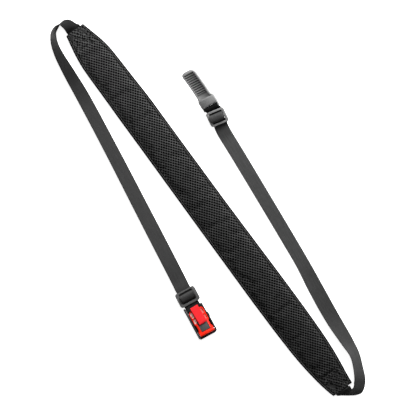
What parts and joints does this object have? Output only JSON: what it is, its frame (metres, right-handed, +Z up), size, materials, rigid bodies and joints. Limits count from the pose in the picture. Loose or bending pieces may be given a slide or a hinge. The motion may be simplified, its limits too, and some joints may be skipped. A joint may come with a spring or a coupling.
{
  "type": "helmet carrier strap",
  "caption": "Padded shoulder strap with a webbing at each end, a tri-glide slider on each webbing, and a ratchet buckle split between its two free ends.",
  "frame": {"origin": "middle of the bounding box in plan, at the floor it lies on", "axes": "+Z up from the floor, +Y towards the pad's end at the buckle's webbing, +X towards the tongue's webbing"},
  "size_m": [0.415, 0.496, 0.0307],
  "materials": {
    "pad_mesh": "black spacer mesh over foam",
    "webbing": "black woven webbing",
    "slider_plastic": "satin dark grey",
    "tongue_plastic": "grey moulded nylon",
    "housing_plastic": "black moulded nylon",
    "pin_steel": "plain steel",
    "lever_plastic": "glossy orange-red",
    "latch_metal": "dark grey",
    "ribbon": "red woven ribbon"
  },
  "bodies": {
    "strap": {"shoulder_pad": "pad_mesh", "webbing_buckle_side": "webbing", "webbing_tongue_side": "webbing", "slider_buckle_side": "slider_plastic", "slider_tongue_side": "slider_plastic", "ratchet_tongue": "tongue_plastic", "buckle_housing": "housing_plastic", "lever_pivot_pin": "pin_steel"},
    "lever": {"release_lever": "lever_plastic", "latch_plate": "latch_metal", "pull_ribbon": "ribbon"}
  },
  "joints": [
    {"name": "lever_hinge", "type": "hinge", "parent": "strap", "child": "lever", "pos_m": [-0.00114, -0.16333, 0.01109], "axis": [0.8748, 0.473, -0.1045], "range_deg": [0, 36], "stiffness_Nm_per_rad": 0.05, "springref_deg": -11.46}
  ]
}
